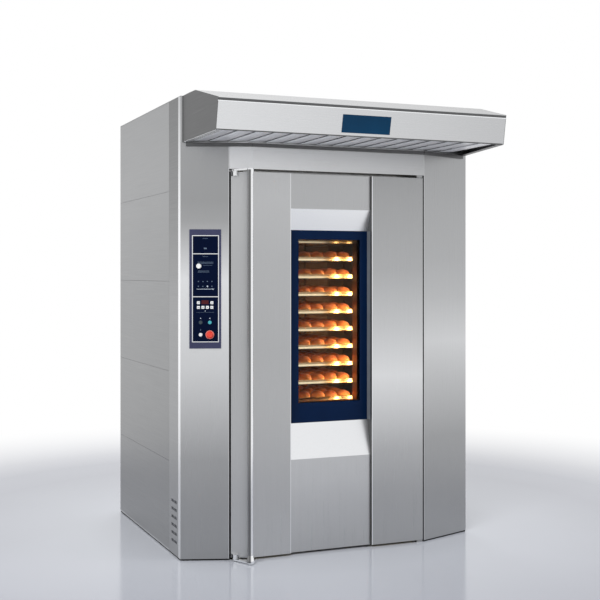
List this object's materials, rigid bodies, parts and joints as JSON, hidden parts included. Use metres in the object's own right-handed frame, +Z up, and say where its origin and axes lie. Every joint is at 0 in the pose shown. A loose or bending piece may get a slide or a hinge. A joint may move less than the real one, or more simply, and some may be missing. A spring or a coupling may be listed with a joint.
{
  "type": "rotating rack oven",
  "caption": "Free-standing bakery oven with a hinged glazed door, a swing handle, a tilted canopy and a wheeled tray rack that turns inside a fan-heated chamber.",
  "frame": {"origin": "on the floor, on the vertical axis that the rack turns about", "axes": "+X to the user's right, +Y from the door to the back, +Z up"},
  "size_m": [1.632, 1.819, 2.42],
  "materials": {
    "body_steel": "satin stainless sheet",
    "bright_steel": "polished stainless",
    "floor_steel": "dull rolled stainless",
    "galvanised": "galvanised sheet",
    "grey_plastic": "satin moulded",
    "lamp_glass": "frosted lamp tube",
    "liner_steel": "heat-tinted stainless sheet",
    "mineral_wool": "rigid mineral-wool slab",
    "motor_paint": "semi-gloss machine paint",
    "navy_trim": "satin navy",
    "red_plastic": "glossy moulded",
    "seal_rubber": "matt silicone",
    "teal_plastic": "glossy moulded",
    "wheel_polymer": "heat-resistant phenolic",
    "white_plastic": "satin moulded",
    "window_glass": "clear toughened glass"
  },
  "bodies": {
    "cabinet": {"air_duct": "liner_steel", "base_frame": "floor_steel", "ceiling_liner": "liner_steel", "chamber_liner": "liner_steel", "control_panel": "navy_trim", "damper_actuator": "motor_paint", "door_seal": "seal_rubber", "electrics_box": "galvanised", "fan_motor": "motor_paint", "floor_pan": "liner_steel", "flue_pipe": "galvanised", "front_frame": "liner_steel", "header_panel": "body_steel", "heater_bank": "liner_steel", "hinge_brackets": "floor_steel", "hood_ends": "body_steel", "hood_fan_housing": "galvanised", "hood_filters": "body_steel", "hood_shell": "body_steel", "insulation": "mineral_wool", "latch_keepers": "floor_steel", "rack_gearmotor": "motor_paint", "rear_panel": "body_steel", "roof_panel": "body_steel", "side_panels": "body_steel", "steam_generator": "liner_steel", "water_pipe": "liner_steel", "wing_panels": "body_steel"},
    "door": {"door_panel_left": "body_steel", "door_panel_right": "body_steel", "door_centre_panels": "body_steel", "window_frame": "navy_trim", "window_glasses": "window_glass", "door_core": "liner_steel", "door_liner": "liner_steel", "door_fittings": "floor_steel", "lamp_housing": "liner_steel", "door_lamps": "lamp_glass"},
    "handle": {"handle_bar": "bright_steel", "handle_arms": "bright_steel"},
    "rack": {"turntable": "liner_steel", "rack_frame": "floor_steel", "tray_runners": "floor_steel", "baking_trays": "liner_steel", "drive_fork": "floor_steel", "caster_mounts": "floor_steel"},
    "swivel_left": {"swivel_fork_left": "floor_steel"},
    "swivel_right": {"swivel_fork_right": "floor_steel"},
    "front_wheel_left": {"wheel_front_left": "wheel_polymer"},
    "front_wheel_right": {"wheel_front_right": "wheel_polymer"},
    "rear_wheel_left": {"wheel_rear_left": "wheel_polymer"},
    "rear_wheel_right": {"wheel_rear_right": "wheel_polymer"},
    "circulation_fan": {"fan_impeller": "liner_steel"},
    "canopy_fan": {"hood_fan_impeller": "galvanised"},
    "flue_damper": {"damper_flap": "galvanised"},
    "start_key": {"start_button": "grey_plastic"},
    "steam_key": {"steam_button": "teal_plastic"},
    "lamp_key": {"lamp_button": "white_plastic"},
    "stop_key": {"stop_button": "red_plastic"},
    "program_knob": {"selector_knob": "white_plastic"}
  },
  "joints": [
    {"name": "door_swing", "type": "hinge", "parent": "cabinet", "child": "door", "pos_m": [0.516, -0.667, 1], "axis": [0, 0, 1], "range_deg": [0, 110]},
    {"name": "handle_turn", "type": "hinge", "parent": "door", "child": "handle", "pos_m": [-0.515, -0.668, 1], "axis": [0, 0, 1], "range_deg": [-40, 10]},
    {"name": "rack_turn", "type": "hinge", "parent": "cabinet", "child": "rack", "pos_m": [0, 0, 0.03], "axis": [0, 0, 1], "continuous": true},
    {"name": "left_swivel", "type": "hinge", "parent": "rack", "child": "swivel_left", "pos_m": [-0.25, -0.32, 0.13], "axis": [0, 0, 1], "continuous": true},
    {"name": "right_swivel", "type": "hinge", "parent": "rack", "child": "swivel_right", "pos_m": [0.25, -0.32, 0.13], "axis": [0, 0, 1], "continuous": true},
    {"name": "front_left_roll", "type": "hinge", "parent": "swivel_left", "child": "front_wheel_left", "pos_m": [-0.25, -0.345, 0.0733], "axis": [1, 0, 0], "continuous": true},
    {"name": "front_right_roll", "type": "hinge", "parent": "swivel_right", "child": "front_wheel_right", "pos_m": [0.25, -0.345, 0.0733], "axis": [1, 0, 0], "continuous": true},
    {"name": "rear_left_roll", "type": "hinge", "parent": "rack", "child": "rear_wheel_left", "pos_m": [-0.25, 0.32, 0.0733], "axis": [1, 0, 0], "continuous": true},
    {"name": "rear_right_roll", "type": "hinge", "parent": "rack", "child": "rear_wheel_right", "pos_m": [0.25, 0.32, 0.0733], "axis": [1, 0, 0], "continuous": true},
    {"name": "circulation_spin", "type": "hinge", "parent": "cabinet", "child": "circulation_fan", "pos_m": [0.661, 0, 1.65], "axis": [0, 0, 1], "continuous": true},
    {"name": "canopy_spin", "type": "hinge", "parent": "cabinet", "child": "canopy_fan", "pos_m": [-0.32, -0.44, 2.15], "axis": [0, 0, 1], "continuous": true},
    {"name": "damper_turn", "type": "hinge", "parent": "cabinet", "child": "flue_damper", "pos_m": [-0.3, 0.4, 2.2], "axis": [1, 0, 0], "range_deg": [0, 90]},
    {"name": "program_turn", "type": "hinge", "parent": "cabinet", "child": "program_knob", "pos_m": [-0.68338, -0.60057, 1.457], "axis": [-0.3406, -0.9402, 0], "range_deg": [-150, 150]},
    {"name": "start_press", "type": "slide", "parent": "cabinet", "child": "start_key", "axis": [0.3406, 0.9402, 0], "range_m": [0, 0.003], "stiffness_N_per_m": 400},
    {"name": "steam_press", "type": "slide", "parent": "cabinet", "child": "steam_key", "axis": [0.3406, 0.9402, 0], "range_m": [0, 0.003], "stiffness_N_per_m": 400},
    {"name": "lamp_press", "type": "slide", "parent": "cabinet", "child": "lamp_key", "axis": [0.3406, 0.9402, 0], "range_m": [0, 0.003], "stiffness_N_per_m": 400},
    {"name": "stop_press", "type": "slide", "parent": "cabinet", "child": "stop_key", "axis": [0.3406, 0.9402, 0], "range_m": [0, 0.005], "stiffness_N_per_m": 800}
  ]
}
